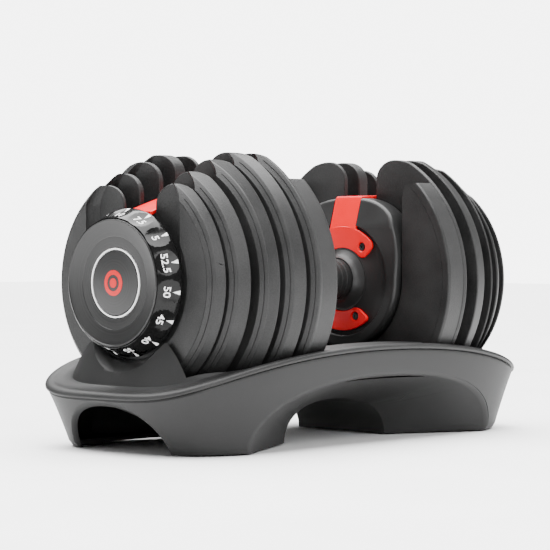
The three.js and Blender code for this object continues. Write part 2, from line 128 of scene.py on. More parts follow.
def prismY(name, outline, y0, y1):
    return extrudeOutline(name, [(x, y0, z) for x, z in outline], (0, y1 - y0, 0))


def loftRings(name, rings, closed=False):
    # equal rings of points joined in order, with both ends filled or joined to each other
    bm = bmesh.new()
    verts = [bm.verts.new(p) for p in rings[0]]
    loop = [bm.edges.new(pair) for pair in zip(verts, verts[1:] + verts[:1])]
    if not closed:
        bmesh.ops.contextual_create(bm, geom=loop)
    for ring in rings[1:] + (rings[:1] if closed else []):
        grown = bmesh.ops.extrude_edge_only(bm, edges=loop)
        fresh = {v for v in grown["geom"] if isinstance(v, bmesh.types.BMVert)}
        verts = [next(e.other_vert(v) for e in v.link_edges if e.other_vert(v) in fresh) for v in verts]
        for v, p in zip(verts, ring):
            v.co = p
        loop = [bm.edges.get(pair) for pair in zip(verts, verts[1:] + verts[:1])]
    if closed:
        bmesh.ops.remove_doubles(bm, verts=bm.verts, dist=1e-5)
    else:
        bmesh.ops.contextual_create(bm, geom=loop)
    bmesh.ops.recalc_face_normals(bm, faces=bm.faces)
    return newObject(name, bm)


def boxPiece(name, low, high):
    bm = bmesh.new()
    bmesh.ops.create_cube(bm, size=1)
    low, high = Vector(low), Vector(high)
    bmesh.ops.scale(bm, vec=high - low, verts=bm.verts)
    bmesh.ops.translate(bm, vec=(low + high) / 2, verts=bm.verts)
    return newObject(name, bm)


def bevelSharp(obj, width, segments=2, angle=30, keep=None):
    # rounds the edges sharper than an angle, where keep(edge) allows it
    bm = bmesh.new()
    bm.from_mesh(obj.data)
    bmesh.ops.remove_doubles(bm, verts=bm.verts, dist=0.03)
    bmesh.ops.dissolve_limit(bm, angle_limit=math.radians(0.5), verts=bm.verts, edges=bm.edges)
    limit = math.radians(angle)
    edges = [e for e in bm.edges if len(e.link_faces) == 2 and e.calc_face_angle() > limit]
    if keep:
        edges = [e for e in edges if keep(e)]
    bmesh.ops.bevel(bm, geom=edges, offset=width, offset_type="OFFSET", segments=segments, profile=0.5,
                    affect="EDGES", clamp_overlap=False, material=-1, loop_slide=True)
    bm.to_mesh(obj.data)
    bm.free()
    return obj


def arcPoints(radius, fromDegrees, toDegrees, steps, centre):
    points = []
    for i in range(steps + 1):
        angle = math.radians(fromDegrees + (toDegrees - fromDegrees) * i / steps)
        points.append((centre[0] + radius * math.cos(angle), centre[1] + radius * math.sin(angle)))
    return points


def turnedCopy(obj, name):  # the other end's copy, half a turn about the upright axis
    mesh = obj.data.copy()
    mesh.transform(Matrix.Rotation(math.pi, 4, "Z"))
    copy = bpy.data.objects.new(name, mesh)
    bpy.context.scene.collection.objects.link(copy)
    for step in obj.modifiers:
        new = copy.modifiers.new(step.name, step.type)
        for key in ("keep_sharp", "weight", "mode"):
            if hasattr(step, key):
                setattr(new, key, getattr(step, key))
    return copy


def finishPiece(obj, material, body, nodes=(), smooth=32):
    # scales to metres, sets the shading and the finish, and ties the piece to its body
    bm = bmesh.new()
    bm.from_mesh(obj.data)
    bmesh.ops.scale(bm, vec=(mm, mm, mm), verts=bm.verts)
    limit = math.radians(smooth)
    for face in bm.faces:
        face.smooth = True
    for edge in bm.edges:
        edge.smooth = len(edge.link_faces) == 2 and edge.calc_face_angle() < limit
    bm.to_mesh(obj.data)
    bm.free()
    dressPiece(obj, material, body, nodes)
    weighted = obj.modifiers.new("weighted", "WEIGHTED_NORMAL")
    weighted.keep_sharp = True
    return obj


def dressPiece(obj, material, body, nodes=()):
    obj.data.materials.clear()
    obj.data.materials.append(material)
    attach(obj, body)
    if nodes:
        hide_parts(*nodes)


def otherEnd(obj, body, nodes=(), name=None):
    # the finished left piece again at the right end
    copy = turnedCopy(obj, name or obj.name.replace("left", "right"))
    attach(copy, body)
    if nodes:
        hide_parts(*nodes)
    return copy


# ---- shader helpers


class Wire:
    # a node socket that adds its own Math nodes when it is used in an expression
    def __init__(self, shader, socket):
        self.shader, self.socket = shader, socket

    def math(self, operation, *others):
        inputs = {0: self}
        inputs.update({i + 1: other for i, other in enumerate(others)})
        return self.shader.add("ShaderNodeMath", {"operation": operation}, inputs)

    def __add__(self, other): return self.math("ADD", other)
    def __radd__(self, other): return self.math("ADD", other)
    def __sub__(self, other): return self.math("SUBTRACT", other)
    def __mul__(self, other): return self.math("MULTIPLY", other)
    def __rmul__(self, other): return self.math("MULTIPLY", other)
    def __truediv__(self, other): return self.math("DIVIDE", other)

    def __rsub__(self, other):
        return self.shader.add("ShaderNodeMath", {"operation": "SUBTRACT"}, {0: other, 1: self})


class Shader:
    def __init__(self, name, **fixed):
        self.material = bpy.data.materials.new(name)
        self.material.use_nodes = True
        self.tree = self.material.node_tree
        self.surface = self.tree.nodes["Principled BSDF"]
        for socket, value in fixed.items():
            self.surface.inputs[socket.replace("_", " ")].default_value = value

    def add(self, kind, settings=None, inputs=None, output=0):
        node = self.tree.nodes.new(kind)
        for key, value in (settings or {}).items():
            if key == "stops":
                ramp = node.color_ramp
                while len(ramp.elements) < len(value):
                    ramp.elements.new(0.5)
                for element, (place, colour) in zip(ramp.elements, value):
                    element.position = place
                    element.color = colour
            else:
                setattr(node, key, value)
        for socket, value in (inputs or {}).items():
            if isinstance(value, Wire):
                self.tree.links.new(value.socket, node.inputs[socket])
            else:
                node.inputs[socket].default_value = value
        return Wire(self, node.outputs[output])

    def feed(self, socket, wire):
        self.tree.links.new(wire.socket, self.surface.inputs[socket])

    def place(self):
        return self.add("ShaderNodeTexCoord", output="Object")

    def noise(self, scale, detail=3.0, vector=None, roughness=0.5):
        return self.add("ShaderNodeTexNoise", {}, {"Vector": vector or self.place(), "Scale": scale,
                                                   "Detail": detail, "Roughness": roughness}, "Fac")

    def stretch(self, wire, low, high, outLow, outHigh):
        return self.add("ShaderNodeMapRange", {"clamp": True}, {"Value": wire, "From Min": low,
                        "From Max": high, "To Min": outLow, "To Max": outHigh}, "Result")

    def blend(self, factor, first, second):
        return self.add("ShaderNodeMix", {"data_type": "RGBA"}, {"Factor": factor, 6: first, 7: second}, 2)

    def bump(self, height, strength, distance):
        self.feed("Normal", self.add("ShaderNodeBump", {}, {"Height": height, "Strength": strength,
                                                            "Distance": distance}))


def grey(value, warm=0.0):
    return (value * (1 + warm), value, value * (1 - warm), 1)


def grainedPlastic(name, look):
    # moulded plastic: a fine spark-eroded grain, with slow changes of shade and gloss
    shader = Shader(name, Roughness=look["gloss"], Specular_IOR_Level=look.get("specular", 0.5))
    grain = shader.noise(look["grain"], 2.0)
    cloud = shader.noise(look["cloud"], 4.0)
    shade = shader.stretch(grain * 0.45 + cloud * 0.55, 0.35, 0.65, 0.0, 1.0)
    shader.feed("Base Color", shader.blend(shade, look["dark"], look["light"]))
    shader.feed("Roughness", shader.stretch(grain * 0.5 + cloud * 0.5, 0.3, 0.7,
                                            look["gloss"] - 0.07, look["gloss"] + 0.07))
    shader.bump(grain, look["relief"], look["depth"])
    return shader.material


plasticLooks = {
    "base": {"gloss": 0.46, "specular": 0.22, "grain": 1500.0, "cloud": 22.0, "relief": 0.18, "depth": 0.0002,
             "dark": grey(0.014), "light": grey(0.021)},
    "skirt": {"gloss": 0.5, "specular": 0.22, "grain": 1500.0, "cloud": 18.0, "relief": 0.22, "depth": 0.0002,
              "dark": grey(0.013), "light": grey(0.019)},
    "plate": {"gloss": 0.48, "specular": 0.28, "grain": 1050.0, "cloud": 30.0, "relief": 0.55, "depth": 0.0003,
              "dark": grey(0.006), "light": grey(0.021)},
    "guard": {"gloss": 0.42, "specular": 0.3, "grain": 1400.0, "cloud": 30.0, "relief": 0.2, "depth": 0.0002,
              "dark": grey(0.013), "light": grey(0.02)},
}
basePlastic = grainedPlastic("basePlastic", plasticLooks["base"])
platePlastic = grainedPlastic("platePlastic", plasticLooks["plate"])
guardPlastic = grainedPlastic("guardPlastic", plasticLooks["guard"])
skirtPlastic = grainedPlastic("skirtPlastic", plasticLooks["skirt"])

redLook = {"deep": (0.66, 0.001, 0.004, 1), "bright": (0.8, 0.002, 0.008, 1), "gloss": 0.4}


def makeRedPlastic():
    shader = Shader("redPlastic", Roughness=redLook["gloss"], Specular_IOR_Level=0.2)
    cloud = shader.noise(60.0, 3.0)
    shader.feed("Base Color", shader.blend(cloud, redLook["deep"], redLook["bright"]))
    shader.feed("Roughness", shader.stretch(shader.noise(900.0), 0.3, 0.7, 0.27, 0.36))
    shader.bump(shader.noise(1200.0), 0.08, 0.0002)
    return shader.material


redPlastic = makeRedPlastic()

dialLook = {"dark": grey(0.028), "light": grey(0.042), "rings": 900.0}


def makeDialSilver(name="dialSilver", metallic=0.75):
    # satin paint over fine turned rings about the axle
    shader = Shader(name, Metallic=metallic, Roughness=0.34, Specular_IOR_Level=0.35)
    place = shader.place()
    centred = shader.add("ShaderNodeMapping", {"vector_type": "POINT"},
                         {"Vector": place, "Location": (0, 0, -axleZ * mm)})
    flat = shader.add("ShaderNodeVectorMath", {"operation": "MULTIPLY"}, {0: centred, 1: (0, 1, 1)})
    radius = shader.add("ShaderNodeVectorMath", {"operation": "LENGTH"}, {0: flat}, "Value")
    rings = shader.add("ShaderNodeTexNoise", {"noise_dimensions": "1D"},
                       {"W": radius * dialLook["rings"], "Scale": 1.0, "Detail": 3.0}, "Fac")
    shader.feed("Base Color", shader.blend(rings, dialLook["dark"], dialLook["light"]))
    shader.feed("Roughness", shader.stretch(rings, 0.3, 0.7, 0.3, 0.42))
    shader.bump(rings, 0.12, 0.0001)
    return shader.material


dialSilver = makeDialSilver()
buttonSilver = makeDialSilver("buttonSilver", 0.6)


def makeGlossBlack():
    shader = Shader("glossBlack", Roughness=0.16, Specular_IOR_Level=0.16)
    haze = shader.noise(45.0, 4.0)
    shader.feed("Base Color", shader.blend(haze, grey(0.003), grey(0.006)))
    shader.feed("Roughness", shader.stretch(haze, 0.3, 0.7, 0.1, 0.2))
    return shader.material


glossBlack = makeGlossBlack()


def makeSimple(name, dark, light, gloss, metallic=0.0, scale=300.0, relief=0.1):
    shader = Shader(name, Roughness=gloss, Metallic=metallic, Specular_IOR_Level=0.3)
    speck = shader.noise(scale, 3.0)
    shader.feed("Base Color", shader.blend(speck, dark, light))
    shader.feed("Roughness", shader.stretch(speck, 0.3, 0.7, gloss - 0.05, gloss + 0.06))
    shader.bump(speck, relief, 0.0002)
    return shader.material


whiteInk = makeSimple("whiteInk", grey(0.74), grey(0.86), 0.4)
whiteTrim = makeSimple("whiteTrim", grey(0.7), grey(0.82), 0.28)
redInk = makeSimple("redInk", (0.42, 0.001, 0.003, 1), (0.5, 0.002, 0.005, 1), 0.35)
screwSteel = makeSimple("screwSteel", grey(0.42), grey(0.52), 0.32, 1.0, 600.0, 0.15)
darkSteel = makeSimple("darkSteel", grey(0.3), grey(0.4), 0.35, 1.0, 400.0, 0.1)
gripRubber = makeSimple("gripRubber", grey(0.004), grey(0.009), 0.62, 0.0, 1600.0, 0.6)
footRubber = makeSimple("footRubber", grey(0.01), grey(0.02), 0.75, 0.0, 900.0, 0.4)
blackSteel = makeSimple("blackSteel", grey(0.03), grey(0.06), 0.35, 1.0, 600.0, 0.1)
barSteel = makeSimple("barSteel", grey(0.5), grey(0.6), 0.25, 1.0, 200.0, 0.08)
floorPaint = makeSimple("floorPaint", grey(0.93), grey(0.95), 0.55, 0.0, 8.0, 0.0)
print("materials made")

# ---- camera, lights and floor

camera = {"place": (-1.3146, -1.1883, 0.1546), "forward": (0.7366, 0.6762, -0.0133), "lens": 142.8}


def addCamera():
    data = bpy.data.cameras.new("camera")
    data.lens = camera["lens"]
    data.sensor_width = 36
    data.clip_end = 50
    obj = bpy.data.objects.new("camera", data)
    forward = Vector(camera["forward"]).normalized()
    right = forward.cross(Vector((0, 0, 1))).normalized()
    up = right.cross(forward)
    turn = Matrix((right, up, -forward)).transposed()
    obj.matrix_world = Matrix.Translation(camera["place"]) @ turn.to_4x4()
    bpy.context.scene.collection.objects.link(obj)
    bpy.context.scene.camera = obj


softBoxes = [
    # name, place, aim, width and height, power
    ("key", (-0.7, -2.0, 1.3), (0, 0, 0.12), (1.2, 1.2), 42),
    ("leftSide", (-2.2, 0.9, 0.9), (-0.1, 0, 0.13), (0.9, 1.6), 8),
    ("rightSide", (1.9, -1.3, 1.0), (0.1, 0, 0.12), (0.8, 1.5), 14),
]
studio = {"sun": 17.0, "sunSpread": 75.0, "ambient": 0.25, "backdrop": 6.0}


def addLight(name, kind, place, aim, energy):
    data = bpy.data.lights.new(name, kind)
    data.energy = energy
    obj = bpy.data.objects.new(name, data)
    turn = (Vector(aim) - Vector(place)).to_track_quat("-Z", "Y")
    obj.matrix_world = Matrix.Translation(place) @ turn.to_matrix().to_4x4()
    bpy.context.scene.collection.objects.link(obj)
    return data


def addLights():
    for name, place, aim, size, power in softBoxes:
        data = addLight(name, "AREA", place, aim, power)
        data.shape = "RECTANGLE"
        data.size, data.size_y = size
    addLight("ceiling", "SUN", (0.3, 0.5, 3), (0, 0, 0), studio["sun"]).angle = math.radians(studio["sunSpread"])
    world = bpy.data.worlds.new("studio")
    world.use_nodes = True
    nodes = world.node_tree.nodes
    background = nodes["Background"]
    background.inputs[0].default_value = (1, 1, 1, 1)
    # a white backdrop behind the object, and a dimmer room around it
    path = nodes.new("ShaderNodeLightPath")
    choose = nodes.new("ShaderNodeMapRange")
    choose.inputs["To Min"].default_value = studio["ambient"]
    choose.inputs["To Max"].default_value = studio["backdrop"]
    world.node_tree.links.new(path.outputs["Is Camera Ray"], choose.inputs["Value"])
    world.node_tree.links.new(choose.outputs["Result"], background.inputs[1])
    bpy.context.scene.world = world


def addFloor():
    bm = bmesh.new()
    bmesh.ops.create_grid(bm, x_segments=1, y_segments=1, size=6)
    obj = newObject("floor", bm)
    obj.data.materials.append(floorPaint)


addCamera()
addLights()
addFloor()

# ---- plates

plateLooks = {
    "chamfer": 4.8, "drop": 5.4,  # the outer chamfer, along the axle and across it
    "grooveWidth": 0.55, "innerRound": 1.3, "edgeRound": 1.1,
    "bandHalf": 44.0, "bandTopHalf": 50.8,
    "slotHalf": 17.0, "lobeY": 36.0, "lobeRise": 16.0, "joinY": 55.0,
    # per plate, innermost first: outer rim radius, band's outer face, lobe height
    "outerRadius": [109.8, 107.8, 100.0, 91.0, 84.3],
    "innerRadius": [109.6, 109.7, 105.5, 95.6, 88.0],
    "band": [90.0, 116.0, 133.5, 154.5, 171.0],
    "lobe": [226.0, 226.0, 220.0, 210.4, 201.0],
    "slabFrom": 67.7, "slabRadius": 109.0, "slabChamfer": 1.6, "slabDrop": 1.6, "slabGroove": 102.0,
    "slabCut": 60.0, "slabTipY": 72.0,
    "tab": (6.0, 41.0, 36.0, 4.5),
}


def lobeContour(radius, lobe):
    # the top edge for y above zero: slot side, round lobe, then out to the rim's circle
    s = plateLooks
    slot, lobeY, rise, join = s["slotHalf"], s["lobeY"], s["lobeRise"], s["joinY"]
    points = [(slot, axleZ)]
    for i in range(13):
        angle = math.radians(180 - 90 * i / 12)
        points.append((lobeY + (lobeY - slot) * math.cos(angle), lobe - rise + rise * math.sin(angle)))
    circleZ = axleZ + math.sqrt(radius ** 2 - join ** 2)
    fall = (lobe - circleZ) / (join - lobeY) ** 2
    for i in range(1, 17):
        y = lobeY + (join + 22 - lobeY) * i / 16
        parabola = lobe - fall * (y - lobeY) ** 2
        outside = axleZ + math.sqrt(max(radius ** 2 - y ** 2, 0)) + 0.6
        share = min(max((y - join + 6) / 20, 0), 1)
        share = share * share * (3 - 2 * share)
        points.append((y, parabola + (outside - parabola) * share))
    return points


def plateBlank(name, fromX, toX, inner, outer):
    # the round body, with its soft inner edge and the chamfer round the outer face
    s = plateLooks
    soft = s["innerRound"]
    profile = [(fromX, 0.0), (fromX, inner - soft), (fromX + soft * 0.1, inner - soft * 0.55),
               (fromX + soft * 0.45, inner - soft * 0.15), (fromX + soft, inner - 0.02),
               (toX - s["chamfer"] - 0.7, outer + 0.12), (toX - s["chamfer"], outer - 0.05),
               (toX - s["chamfer"] + 0.6, outer - 0.45), (toX - 0.6, outer - s["drop"] + 0.55),
               (toX - 0.15, outer - s["drop"] + 0.1), (toX, outer - s["drop"] - 0.3), (toX, 0.0)]
    return spinProfile(name, [(-x, r) for x, r in profile], 200)


def offsetOutline(outline, amount):
    # moves a closed outline inwards, if it runs anticlockwise
    moved = []
    for i, (y, z) in enumerate(outline):
        before, after = outline[i - 1], outline[(i + 1) % len(outline)]
        inward = Vector((before[1] - after[1], after[0] - before[0]))
        inward.normalize()
        moved.append((y + inward.x * amount, z + inward.y * amount))
    return moved


def roundedPrism(name, outline, x0, x1, radius):
    # a prism along the axle with both ends' edges rounded, given an anticlockwise outline
    rings = []
    ends = [(radius * (1 - math.cos(a)), radius * (1 - math.sin(a))) for a in (0, 0.4, 0.8, 1.2, math.pi / 2)]
    for depth, inset in ends:
        rings.append([(x0 + depth, y, z) for y, z in offsetOutline(outline, inset)])
    for depth, inset in ends[::-1]:
        rings.append([(x1 - depth, y, z) for y, z in offsetOutline(outline, inset)])
    return loftRings(name, rings)


def bandOutline(radius, lobe):
    # anticlockwise from the slot's bottom: right lobe, out past the rim, under, and back up the left
    half = lobeContour(radius, lobe)
    wide = radius + 20
    arc = arcPoints(plateLooks["slotHalf"], 0, -180, 16, (0, axleZ))
    right = half[::-1]
    outline = [(wide, axleZ - wide), (wide, half[-1][1])] + right + arc[1:-1]
    outline += [(-y, z) for y, z in half] + [(-wide, half[-1][1]), (-wide, axleZ - wide)]
    return dropRepeats(outline)


def crescentOutline(face, toX, x, rimRadius):
    # everything outside the recess at one depth, the recess's wall spreading as it rises
    s = plateLooks
    share = min(max((x - face) / (toX - face), 0), 1)
    half = s["bandTopHalf"] - (s["bandTopHalf"] - s["bandHalf"]) * (1 - share) ** 2.2
    tipZ = axleZ + math.sqrt((rimRadius - s["drop"]) ** 2 - s["bandTopHalf"] ** 2) - 3
    lean = [(half - 0.35, tipZ + 2.5), (half - 1.4, tipZ + 5.5), (half - 3.2, tipZ + 9), (half - 5.4, tipZ + 12.5),
            (half - 8.2, tipZ + 16), (half - 14, tipZ + 22)]
    wide, top = 140, tipZ + 40
    right = [(half - 14, top), (half - 14, tipZ + 22)] + lean[:-1][::-1] + [(half, tipZ)]
    arc = arcPoints(half, 0, -180, 40, (0, axleZ))
    left = [(-y, z) for y, z in right[::-1]]
    return [(wide, -20), (wide, top)] + right + arc + left + [(-wide, top), (-wide, -20)]


def dropRepeats(points):
    kept = []
    for p in points:
        if not kept or math.dist(p, kept[-1]) > 1e-3:
            kept.append(p)
    if math.dist(kept[0], kept[-1]) < 1e-3:
        kept.pop()
    return kept


def grooveTool(x, radius, startY):
    # a thin square ring broken at the top, where the groove ends in the crescents' tips
    half = plateLooks["grooveWidth"] / 2
    start = math.asin(startY / radius)
    square = [(-x - half, radius - half), (-x + half, radius - half),
              (-x + half, radius + half), (-x - half, radius + half)]
    return spinProfile("groove", square, 150, tau - 2 * start, start)


def crescentSlab(fromX, toX):
    # the thick inner crescent of the innermost plate, cut out for the guard
    s = plateLooks
    radius, drop, chamfer = s["slabRadius"], s["slabDrop"], s["slabChamfer"]
    profile = [(fromX, 0), (fromX, radius - drop), (fromX + 0.4, radius - drop + 0.8),
               (fromX + chamfer, radius - 0.2), (fromX + chamfer + 1, radius), (toX, radius), (toX, 0)]
    slab = spinProfile("slab", [(-x, r) for x, r in profile], 180)
    cut = s["slabCut"]
    tipZ = axleZ + math.sqrt(radius ** 2 - s["slabTipY"] ** 2)
    right = [(cut, axleZ), (cut, tipZ - 16), (cut + 1.2, tipZ - 10), (cut + 4, tipZ - 5.5),
             (cut + 8, tipZ - 3.5), (s["slabTipY"] + 3, tipZ - 3), (s["slabTipY"] + 12, tipZ),
             (130, tipZ + 4), (130, 0)]
    arc = arcPoints(cut, 0, -180, 32, (0, axleZ))
    outline = dropRepeats(arc[::-1][:-1] + right + [(-y, z) for y, z in right[::-1]])
    return combine(slab, prismX("slabCut", outline, -toX - 5, -fromX + 5), "INTERSECT")


def makePlate(index):
    s = plateLooks
    node = f"plate_left_{index + 1}"
    low, high = boxOf(node)
    toX, fromX = -low.x, -high.x
    if index == 0:
        fromX = 86.0
    outer, inner = s["outerRadius"][index], s["innerRadius"][index]
    face, lobe = s["band"][index], s["lobe"][index]
    plate = plateBlank(node + "_shell", fromX, toX, inner, outer)
    outline = bandOutline(max(inner, outer), lobe)
    combine(plate, roundedPrism("band", outline, -face, -fromX, s["edgeRound"]), "INTERSECT")
    crescents = plateBlank("crescents", fromX, toX, inner, outer)
    depths = [face - 1.6, face, face + (toX - face) * 0.12, face + (toX - face) * 0.3, face + (toX - face) * 0.55,
              face + (toX - face) * 0.8, toX - 0.5, toX - 0.12, toX + 1]
    rings = [[(-x, y, z) for y, z in crescentOutline(face, toX - 0.5, x, outer)] for x in depths]
    combine(crescents, loftRings("outside", rings), "INTERSECT")
    combine(crescents, prismX("lobes", outline, -toX - 3, -fromX + 3), "INTERSECT")
    combine(plate, crescents, "UNION")
    if index == 0:
        combine(plate, crescentSlab(s["slabFrom"], fromX + 0.6), "UNION")
    if index == 4:
        room = [(-toX - 5, 0), (-toX - 5, 58.7), (-toX + 3, 58.2), (-toX + 3, 0)]
        combine(plate, spinProfile("dialRoom", room, 128))
    for along, across in ((0.0, s["drop"] + 0.2), (s["chamfer"] * 0.52, s["drop"] * 0.47)):
        combine(plate, grooveTool(toX - along, outer - across, s["bandTopHalf"] + 2.5))
    if index == 0:
        combine(plate, grooveTool(s["slabFrom"], s["slabGroove"], 68))
    half, low41, high36, reach = s["tab"]
    tab = boxPiece("tab", (-face - reach, -half, axleZ - low41), (-face + 0.5, half, axleZ - high36))
    bevelSharp(tab, 0.6, 2)
    combine(plate, tab, "UNION")
    finishPiece(plate, platePlastic, f"plate_left_{index + 1}", [node], 26)
    otherEnd(plate, f"plate_right_{index + 1}", [f"plate_right_{index + 1}"])


for plateIndex in range(5):
    makePlate(plateIndex)
print("plates made")

# ---- base

baseLooks = {
    "halfLength": 215.0, "halfWidth": 105.5, "power": 4.0, "ringPoints": 240,
    "crown": 78.3, "sag": 0.00046, "droop": 5.7e-9,  # the rim's height along the length
    "footLength": 193.0, "footWidth": 96.5, "wall": 3.5, "bottom": 1.0, "skirtTop": 5.1,
    "shellWall": 2.7, "bigRadius": 113.0, "smallRadius": 92.0, "knee": 122.0, "wellFrom": 66.2, "wellTo": 182.5,
    "cradleInset": 18.0, "cradleSlope": 2.4,
}

# half of the rim's section: inset from the edge and height above or below the rim line
lipUnder = [(60, -9.0), (8.0, -8.5), (4.0, -5.5), (2.6, -4.6), (1.5, -4.4)]
lipBead = [(0.5, -4.0), (0.1, -3.3), (0.0, -2.5), (0.2, -1.6), (0.8, -0.8), (1.8, -0.25), (3.0, 0.0), (4.4, -0.1),
           (6.0, -0.6), (8.0, -1.5), (10.5, -2.3), (13.0, -2.5), (15.5, -2.4), (17.0, -2.0), (18.0, -1.6)]
cradleHeights = [(0, 36.0), (50, 35.0), (59, 25.0), (72, 15.0), (86, 4.5), (94, 0.5), (106, 0.0)]


def rimTop(x):
    s = baseLooks
    return s["crown"] - s["sag"] * x ** 2 - s["droop"] * x ** 4


def superRing(halfLength, halfWidth, height):
    # evenly spread points round the base's plan, with a height from each point's x and y
    s = baseLooks
    points = []
    for i in range(s["ringPoints"]):
        angle = tau * i / s["ringPoints"]
        c, n = math.cos(angle), math.sin(angle)
        reach = (abs(c) ** s["power"] + abs(n) ** s["power"]) ** (-1 / s["power"])
        x, y = halfLength * reach * c, halfWidth * reach * n
        points.append((x, y, height(x, y)))
    return points


def between(value, table):
    # straight-line reading of a table of pairs
    for (a, p), (b, q) in zip(table, table[1:]):
        if value <= b:
            return p + (q - p) * (value - a) / (b - a)
    return table[-1][1]


def cradleRise(inset, x, y):
    s = baseLooks
    near = min(max((abs(x) - 138) / 34, 0), 1)
    slope = s["cradleSlope"] * max(inset - s["cradleInset"], 0)
    full = between(abs(y), cradleHeights)
    soft = 5.0  # how gently the slope turns into the top
    h = max(soft - abs(slope - full), 0) / soft
    rise = min(slope, full) - h * h * soft / 4 if slope > 0 else 0.0
    return rise * near * near * (3 - 2 * near)


def insetRing(inset, offset, rise=0.0):
    s = baseLooks
    return superRing(s["halfLength"] - inset, s["halfWidth"] - inset,
                     lambda x, y: rimTop(x) + offset + (cradleRise(inset, x, y) * rise))


def centreRing(share, offset, rise):
    # rings that shrink towards the middle
    s = baseLooks
    return superRing(30 + 135 * share, 8 + 47 * share,
                     lambda x, y: rimTop(x) + offset + (cradleRise(50, x, y) * rise))


def traySlab():
    rings = [centreRing(0.0, -9.0, 0), centreRing(1.0, -9.0, 0)]
    rings += [insetRing(inset, offset) for inset, offset in lipUnder[1:] + lipBead]
    inset = baseLooks["cradleInset"]
    while inset < 40:
        inset += 1.6
        rings.append(insetRing(inset, -1.6 + min(inset - 18, 6) * 0.35, 1.0))
    rings += [centreRing(share, 0.5, 1.0) for share in (1.0, 0.5, 0.0)]
    return loftRings("tray", rings)


def wellCone(name, side, grow):
    s = baseLooks
    profile = [(s["wellFrom"] - grow, 0), (s["wellFrom"] - grow, s["bigRadius"] + grow),
               (s["knee"], s["bigRadius"] + grow), (s["wellTo"] + grow, s["smallRadius"] + grow),
               (s["wellTo"] + grow, 0)]
    return spinProfile(name, [(side * x, r) for x, r in profile], 160)


def underSpace(name):
    # everything between the tray's underside and the sole
    top = [(x, rimTop(x) - 3) for x in range(-200, 201, 10)]
    return prismY(name, [(-200, 11), (200, 11)] + top[::-1], -97.5, 97.5)


def panBox(name, grow):
    half = [(47, 39 - grow), (80 + grow, 54 - grow), (80 + grow, 99)]
    outline = half + [(-y, z) for y, z in half[::-1]]
    return prismX(name, outline, -63.5 - grow, 63.5 + grow)


def makeTray():
    tray = traySlab()
    for side in (-1, 1):
        shell = combine(wellCone("shell", side, baseLooks["shellWall"]), underSpace("under"), "INTERSECT")
        combine(tray, shell, "UNION")
    combine(tray, combine(panBox("panShell", 3), underSpace("under"), "INTERSECT"), "UNION")
    combine(tray, bevelSharp(panBox("pan", 0), 3.0, 4))
    for side in (-1, 1):
        combine(tray, wellCone("well", side, 0.0))
        recess = [(174, 0), (174, 59), (184, 59), (187, 60.6), (196, 69), (225, 71), (225, 0)]
        combine(tray, spinProfile("recess", [(side * x, r) for x, r in recess], 160))
    room = spinProfile("room", [(-67.2, 0), (-67.2, 60), (67.2, 60), (67.2, 0)], 128)
    combine(tray, room)
    for side in (-1, 1):
        post = boxPiece("post", (min(side * 64, side * 66.1), -3.5, 48), (max(side * 64, side * 66.1), 3.5, 70.5))
        combine(tray, post, "UNION")
    finishPiece(tray, basePlastic, "base", ["base_tray"], 30)


def skirtEdge(z, atEnd):
    # half-length and half-width of the skirt's outer face at a height
    s = baseLooks
    low, high = s["bottom"], rimTop(s["halfLength"] if atEnd else 0) - s["skirtTop"]
    share = min(max((z - low) / (high - low), 0), 1)
    return (s["footLength"] + (s["halfLength"] - 1.5 - s["footLength"]) * share,
            s["footWidth"] + (s["halfWidth"] - 1.5 - s["footWidth"]) * share)


def archTop(halfWidth, height, power, steps):
    points = []
    for i in range(steps + 1):
        c, n = math.cos(math.pi * i / steps), math.sin(math.pi * i / steps)
        points.append((halfWidth * math.copysign(abs(c) ** (2 / power), c), height * abs(n) ** (2 / power)))
    return [(halfWidth, -6)] + points + [(-halfWidth, -6)]


archLooks = {
    "end": (48.0, 35.0, 2.3), "endRound": 7.0,
    "tunnel": (61.0, 33.0, 2.3), "tunnelHalf": 47.0, "splay": 1.5625, "rise": 0.386, "sideRound": 2.4,
}


def roundSteps(radius, steps=6):
    # depth below the surface and how far the edge has opened there, for a rounded edge
    return [(radius * (1 - math.sin(a)), radius * (1 - math.cos(a)))
            for a in [math.pi / 2 * k / steps for k in range(steps + 1)]]


def endArch(side):
    halfWidth, height, power = archLooks["end"]
    rings = []
    stages = [(30.0, 0.0)] + roundSteps(archLooks["endRound"]) + [(-2.0, archLooks["endRound"]), (-30.0, 12.0)]
    for depth, grow in stages:
        ring = []
        for y, z in archTop(halfWidth + grow, height + grow, power, 40):
            length, width = skirtEdge(z, True)
            x = length * max(1 - (abs(y) / width) ** 4, 0) ** 0.25 - depth
            ring.append((side * x, y, z))
        rings.append(ring)
    return loftRings("endArch", rings)


def sideArch(wall=0.0):
    # the tunnel's space and its flared mouths, or the same a wall thicker all round
    s = archLooks
    halfWidth, height, power = s["tunnel"]
    rings = []
    reach = 54.0  # from the tunnel's end out to the skirt
    stages = [(reach, 0.0)] + roundSteps(s["sideRound"]) + [(-14.0, s["sideRound"])]
    for side in (-1, 1):
        part = []
        for depth, grow in stages:
            out = reach - depth
            more = grow + wall
            outline = archTop(halfWidth + s["splay"] * out + more, height + s["rise"] * out + more, power, 56)
            ring = []
            for x, z in outline:
                length, width = skirtEdge(z, False)
                edge = width * max(1 - (abs(x) / length) ** 4, 0) ** 0.25
                y = s["tunnelHalf"] if depth == reach else 125 if depth < 0 else edge - depth
                ring.append((x, side * y, z))
            part.append(ring)
        rings = part[::-1] + rings if side < 0 else rings + part
    return loftRings("sideArch", rings)


